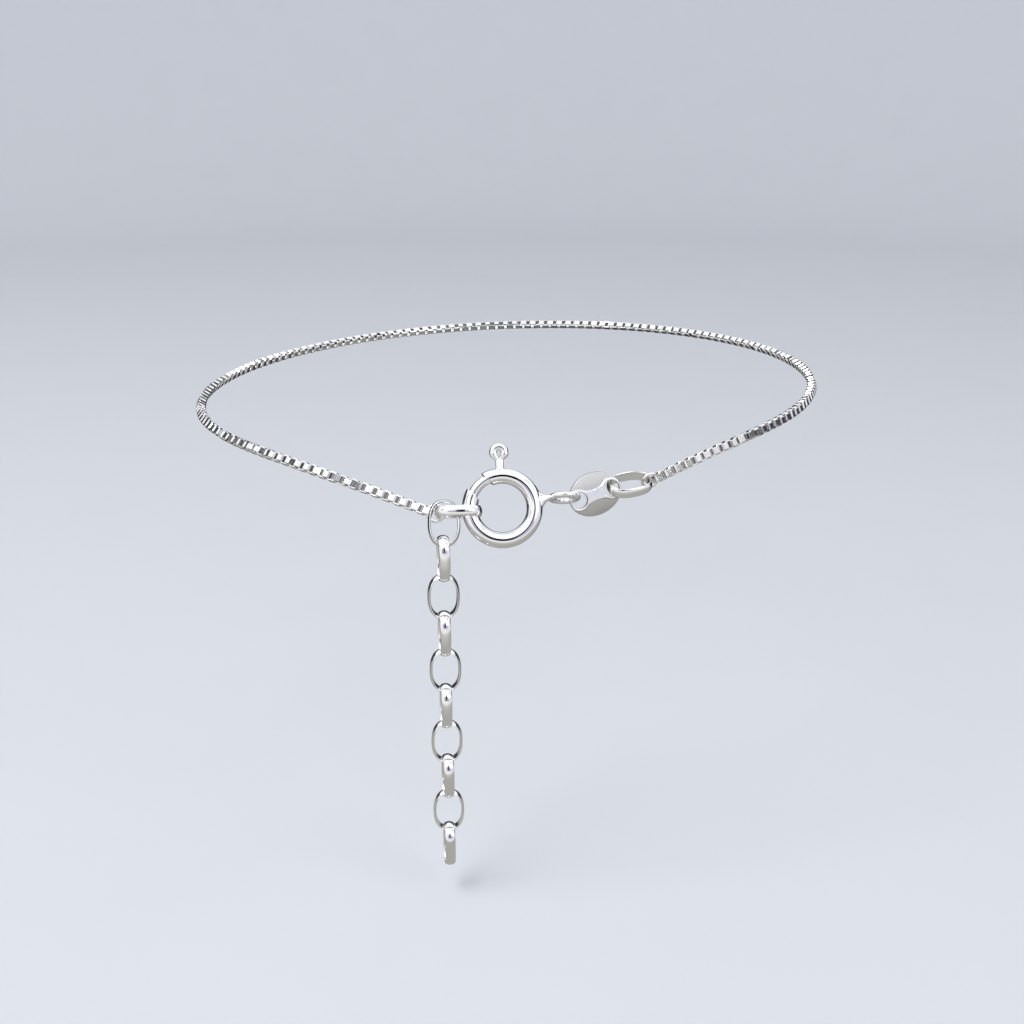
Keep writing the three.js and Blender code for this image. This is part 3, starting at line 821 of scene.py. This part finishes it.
def fine_scratches():
    """Height of hair-thin scratches in two crossing directions: noise streaks near their middle value."""
    if "Fine scratches" in bpy.data.node_groups:
        return bpy.data.node_groups["Fine scratches"]
    group, given, out = new_group("Fine scratches", ("Height", "Float"), Vector="Vector", Scale="Float")
    heights = []
    stretch, sharpness = (1, 14, 9), 28.0
    for rotation in ((0.3, 0.5, 0.2), (1.1, -0.4, 1.9)):
        streaks = stretched(group, given["Vector"], stretch, rotation)
        streak = noise(group, streaks, given["Scale"], 3.0)
        off_middle = maths(group, "ABSOLUTE", maths(group, "SUBTRACT", streak, 0.5))
        heights.append(maths(group, "MINIMUM", maths(group, "MULTIPLY", off_middle, sharpness), 1.0))
    group.links.new(maths(group, "MULTIPLY", *heights), out)
    return group


def handling_haze():
    """Roughness that drifts between polished and handled patches, with fine speckle."""
    if "Handling haze" in bpy.data.node_groups:
        return bpy.data.node_groups["Handling haze"]
    group, given, out = new_group("Handling haze", ("Roughness", "Float"), Vector="Vector", Scale="Float",
                                  Polished="Float", Handled="Float")
    broad = noise(group, given["Vector"], given["Scale"])
    speckle = noise(group, given["Vector"], maths(group, "MULTIPLY", given["Scale"], 9.0))
    contrast, least = 2.2, 0.6
    patches = maths(group, "POWER", broad, contrast)
    mask = maths(group, "MULTIPLY", patches, maths(group, "ADD", speckle, least))
    span = maths(group, "SUBTRACT", given["Handled"], given["Polished"])
    group.links.new(maths(group, "MULTIPLY_ADD", mask, span, given["Polished"]), out)
    return group


def silver_film():
    """Colour that drifts between clean metal and a faint film of tarnish."""
    if "Silver film" in bpy.data.node_groups:
        return bpy.data.node_groups["Silver film"]
    group, given, out = new_group("Silver film", ("Color", "Color"), Vector="Vector", Scale="Float",
                                  Clean="Color", Film="Color", Amount="Float")
    mask = maths(group, "POWER", noise(group, given["Vector"], given["Scale"], detail=4.0), 2.0)
    share = maths(group, "MULTIPLY", mask, given["Amount"])
    group.links.new(mixed(group, share, given["Clean"], given["Film"]), out)
    return group


def placed_group(tree, group, **values):
    """A node group in a material, with values or links on its inputs."""
    node = tree.nodes.new("ShaderNodeGroup")
    node.node_tree = group
    for name, value in values.items():
        set_or_link(tree, value, node.inputs[name])
    return node.outputs[0]


def new_material(name):
    """A material, its nodes and its shader."""
    material = bpy.data.materials.new(name)
    material.use_nodes = True
    return material, material.node_tree, material.node_tree.nodes["Principled BSDF"]


def silver_base(name, colours, film_share, film_scale, haze_scale, polished, handled):
    """Metal with a film of tarnish over its colour and a haze in its roughness."""
    material, tree, shader = new_material(name)
    shader.inputs["Metallic"].default_value = 1.0
    coordinates = tree.nodes.new("ShaderNodeTexCoord").outputs["Object"]
    clean, film = ((*part, 1) for part in colours)
    tint = placed_group(tree, silver_film(), Vector=coordinates, Scale=film_scale,
                        Clean=clean, Film=film, Amount=film_share)
    haze = placed_group(tree, handling_haze(), Vector=coordinates, Scale=haze_scale,
                        Polished=polished, Handled=handled)
    tree.links.new(tint, shader.inputs["Base Color"])
    tree.links.new(haze, shader.inputs["Roughness"])
    return material, tree, shader, coordinates, tint, haze


def add_bump(tree, shader, height, depth):
    """Feeds a height into the shader's normal; depth is in metres."""
    bump = tree.nodes.new("ShaderNodeBump")
    bump.inputs["Strength"].default_value = 1.0
    bump.inputs["Distance"].default_value = depth
    tree.links.new(height, bump.inputs["Height"])
    tree.links.new(bump.outputs["Normal"], shader.inputs["Normal"])


def polished_silver(name, grain, wear):
    """Bright silver with a little haze, film and hairline scratches."""
    finish = bpy.context.scene.anklet_finish
    material, tree, shader, coordinates, _, _ = silver_base(
        name, (finish.silver, finish.tarnish), film_share=0.7 * wear, film_scale=260.0 * grain,
        haze_scale=420.0 * grain, polished=finish.polish, handled=finish.polish + 0.16 * wear)
    scratches = placed_group(tree, fine_scratches(), Vector=coordinates, Scale=900.0 * grain)
    add_bump(tree, shader, scratches, depth=0.00025 * MM * wear)
    return material


def satin_silver():
    """Satin silver: a rolled sheet with fine grain and a few scratches, brighter and smoother where the
    mesh's band attribute is 1."""
    finish = bpy.context.scene.anklet_finish
    material, tree, shader, coordinates, sheet, haze = silver_base(
        "tag_silver_finish", (finish.satin, finish.satin_film), film_share=1.0, film_scale=260.0,
        haze_scale=500.0, polished=finish.brushed, handled=finish.brushed + 0.2)
    band = tree.nodes.new("ShaderNodeAttribute")
    band.attribute_name = "band"
    share = band.outputs["Fac"]
    tree.links.new(mixed(tree, share, sheet, finish.silver), shader.inputs["Base Color"])
    rubbed = maths(tree, "MULTIPLY_ADD", share, finish.rubbed - finish.brushed, haze)
    tree.links.new(rubbed, shader.inputs["Roughness"])
    grain = noise(tree, coordinates, scale=9000.0, detail=3.0)
    scratches = placed_group(tree, fine_scratches(), Vector=coordinates, Scale=700.0)
    add_bump(tree, shader, maths(tree, "ADD", grain, scratches), depth=0.0015 * MM)
    return material


# ---- stage ----

def stage_mesh(name, points, faces, material):
    """A mesh that isn't part of the object."""
    made = mesh_object(name, points, faces.tolist(), material)
    return made


def floor_surface(level, flat=(0.0, 0.12, 0.3), radius=0.42, sweep=0.16, top=0.30, steps=16, sides=96):
    """A round floor that sweeps up to a wall: the profile (distance, height) turned about the z axis."""
    bend = np.linspace(0, math.pi / 2, steps)
    distance = np.concatenate([flat, radius + sweep * np.sin(bend), [radius + sweep]])
    height = np.concatenate([np.zeros(len(flat)), sweep * (1 - np.cos(bend)), [top]])
    points = revolved(distance[:, None], full_turn(sides), level + height[:, None])
    return points.reshape(-1, 3), grid_faces(len(distance), sides)[:, ::-1]


def mixed(tree, share, first, second):
    """Two colours (sockets or triples) mixed by a share."""
    mix = tree.nodes.new("ShaderNodeMix")
    mix.data_type = "RGBA"
    set_or_link(tree, share, mix.inputs["Factor"])
    for value, socket in ((first, mix.inputs[6]), (second, mix.inputs[7])):
        set_or_link(tree, value if isinstance(value, bpy.types.NodeSocket) else (*value, 1), socket)
    return mix.outputs[2]


def ramp(tree, value, start, end):
    """0 below the start, 1 above the end, and even in between."""
    node = tree.nodes.new("ShaderNodeMapRange")
    node.inputs["From Min"].default_value = start
    node.inputs["From Max"].default_value = end
    tree.links.new(value, node.inputs["Value"])
    return node.outputs[0]


def painted_reflections(tree, setting):
    """Painted reflections: what polished metal sees of the floor and wall, painted by place: a floor that
    darkens to painted shade below the anklet, a bright wall in front, a dimmer one on the right and a
    painted dark backdrop behind."""
    place = tree.nodes.new("ShaderNodeSeparateXYZ")
    tree.links.new(tree.nodes.new("ShaderNodeTexCoord").outputs["Object"], place.inputs[0])
    x, y, z = place.outputs
    # Painted shade: the reflected floor darkens from the front to below the anklet.
    painted_table = mixed(tree, ramp(tree, y, start=-0.22, end=-0.06), setting.painted_table, setting.under)
    front = mixed(tree, ramp(tree, z, start=0.0, end=0.04), painted_table, setting.window)
    sideways = mixed(tree, ramp(tree, x, start=0.12, end=0.22), front, setting.painted_side)
    return mixed(tree, ramp(tree, y, start=-0.02, end=0.05), sideways, setting.painted_room)


def floor_material(setting):
    """Matt pale paper with a trace of mottling; glossy rays see in its place painted reflections of a studio
    round it.
    """
    material, tree, shader = new_material("floor_paper")
    shader.inputs["Roughness"].default_value = 0.8
    shader.inputs["Specular IOR Level"].default_value = 0.2
    coordinates = tree.nodes.new("ShaderNodeTexCoord").outputs["Object"]
    tint = placed_group(tree, silver_film(), Vector=coordinates, Scale=60.0, Clean=(*setting.floor, 1),
                        Film=tuple(0.97 * part for part in setting.floor) + (1,), Amount=1.0)
    tree.links.new(tint, shader.inputs["Base Color"])
    # Painted reflections: a glow that only glossy rays see.
    shine = tree.nodes.new("ShaderNodeEmission")
    tree.links.new(painted_reflections(tree, setting), shine.inputs["Color"])
    pick = tree.nodes.new("ShaderNodeMixShader")
    tree.links.new(tree.nodes.new("ShaderNodeLightPath").outputs["Is Glossy Ray"], pick.inputs[0])
    tree.links.new(shader.outputs[0], pick.inputs[1])
    tree.links.new(shine.outputs[0], pick.inputs[2])
    tree.links.new(pick.outputs[0], tree.nodes["Material Output"].inputs["Surface"])
    return material


def plain_emission(name, shade):
    """A surface that only shines."""
    material, tree, _ = new_material(name)
    shine = tree.nodes.new("ShaderNodeEmission")
    shine.inputs["Color"].default_value = (*shade, 1)
    tree.links.new(shine.outputs[0], tree.nodes["Material Output"].inputs["Surface"])
    return material


def painted_card(name, azimuth, elevation, size, shade=(0.0, 0.0, 0.0), distance=0.45):
    """A painted reflection: a sheet of the given shade that faces the anklet and shows only in its
    reflections. Azimuth 0 is the front and elevation is above the horizon; the size is the angle that the
    sheet covers, wide and high."""
    around, above = math.radians(azimuth), math.radians(elevation)
    half_wide, half_high = (distance * math.tan(math.radians(part) / 2) for part in size)
    level = math.cos(above)
    facing = np.array([-math.sin(around) * level, math.cos(around) * level, -math.sin(above)])
    across = unit(np.cross(UP, facing))
    rise = np.cross(facing, across)
    corners = np.array([across * x * half_wide + rise * y * half_high - distance * facing
                        for x, y in ((-1, -1), (1, -1), (1, 1), (-1, 1))])
    made = stage_mesh(name, corners, np.array([[0, 1, 2, 3]]), plain_emission(f"{name}_shine", shade))
    for kind in ("camera", "diffuse", "shadow", "transmission", "volume_scatter"):
        setattr(made, f"visible_{kind}", False)


def add_light(name, place, width, power, shade, aim=(0, 0, -0.01)):
    """A square soft light."""
    data = bpy.data.lights.new(name, "AREA")
    data.size = width
    data.energy = power
    data.color = shade
    light = new_object(name, data)
    light.location = place
    light.rotation_euler = (Vector(aim) - Vector(place)).to_track_quat("-Z", "Y").to_euler()


def soft_sky(shade, strength=0.55, mirrored=1.1):
    """Even light from all round, which polished metal sees at a strength of its own: a painted reflection
    brighter than the light that it casts.
    """
    world = bpy.data.worlds.new("soft_sky")
    world.use_nodes = True
    tree = world.node_tree
    background = tree.nodes["Background"]
    background.inputs["Color"].default_value = (*shade, 1)
    glossy = tree.nodes.new("ShaderNodeLightPath").outputs["Is Glossy Ray"]
    # Painted highlight: glossy rays see the sky at the higher strength.
    level = maths(tree, "MULTIPLY_ADD", glossy, mirrored - strength, strength)
    tree.links.new(level, background.inputs["Strength"])
    bpy.context.scene.world = world


class ANKLET_OT_stage(bpy.types.Operator):
    """Make the camera, the pale floor, the soft studio light and the painted reflections"""
    bl_idname = "anklet.stage"
    bl_label = "Stage"

    def execute(self, context):
        setting = context.scene.anklet_stage
        data = bpy.data.cameras.new("camera")
        data.lens = setting.lens
        data.sensor_width = 36
        data.clip_start = 0.005
        camera = new_object("camera", data)
        camera.location = (0, -setting.distance, setting.rise)
        camera.rotation_euler = (math.pi / 2 - setting.pitch, 0, 0)
        context.scene.camera = camera
        level = CAD_BOX[0].z - setting.drop
        stage_mesh("floor", *floor_surface(level), floor_material(setting))
        add_light("key", (-0.22, -0.18, 0.42), width=0.28, power=1.1, shade=(1.0, 0.99, 0.97))
        add_light("fill", (0.30, -0.30, 0.25), width=0.25, power=0.45, shade=(0.95, 0.97, 1.0))
        # Painted reflections: black sheets and strips and a lavender glow that only the metal's reflections
        # show.
        painted_card("front_card", 5, 20, (16, 26))
        painted_card("lavender_card", 8, 15, (64, 22), (0.44, 0.44, 0.58), distance=0.5)
        painted_card("left_strip", -62, 38, (6, 34))
        painted_card("right_strip", 64, 38, (6, 34))
        soft_sky(setting.sky)
        context.scene.view_settings.view_transform = "Standard"
        return {"FINISHED"}


# ---- add-on ----

STEPS = [ANKLET_OT_stage, ANKLET_OT_box_chain, ANKLET_OT_end_rings, ANKLET_OT_oval_links,
         ANKLET_OT_clasp_body, ANKLET_OT_clasp_bolt, ANKLET_OT_tag]


class ANKLET_PT_sidebar(bpy.types.Panel):
    """Lists the anklet's pieces in the order that they are made"""
    bl_idname = "ANKLET_PT_sidebar"
    bl_label = "Chain Anklet"
    bl_space_type = "VIEW_3D"
    bl_region_type = "UI"
    bl_category = "Anklet"

    def draw(self, context):
        for step in STEPS:
            self.layout.operator(step.bl_idname, text=step.bl_label)
        for name, group in SETTINGS.items():
            box = self.layout.box()
            for prop in group.__annotations__:
                box.prop(getattr(context.scene, name), prop)


def register():
    """Adds the classes and the scene's settings to Blender."""
    for group in (*SETTINGS.values(), *STEPS, ANKLET_PT_sidebar):
        bpy.utils.register_class(group)
    for name, group in SETTINGS.items():
        setattr(bpy.types.Scene, name, PointerProperty(type=group))


def unregister():
    """Takes the settings and the classes out again."""
    for name in SETTINGS:
        delattr(bpy.types.Scene, name)
    for group in (ANKLET_PT_sidebar, *reversed(STEPS), *SETTINGS.values()):
        bpy.utils.unregister_class(group)


def main():
    """Makes every piece in order."""
    register()
    bpy.ops.anklet.stage()
    bpy.ops.anklet.box_chain()
    bpy.ops.anklet.end_rings()
    bpy.ops.anklet.oval_links()
    bpy.ops.anklet.clasp_body()
    bpy.ops.anklet.clasp_bolt()
    bpy.ops.anklet.tag()


if __name__ == "__main__":
    main()
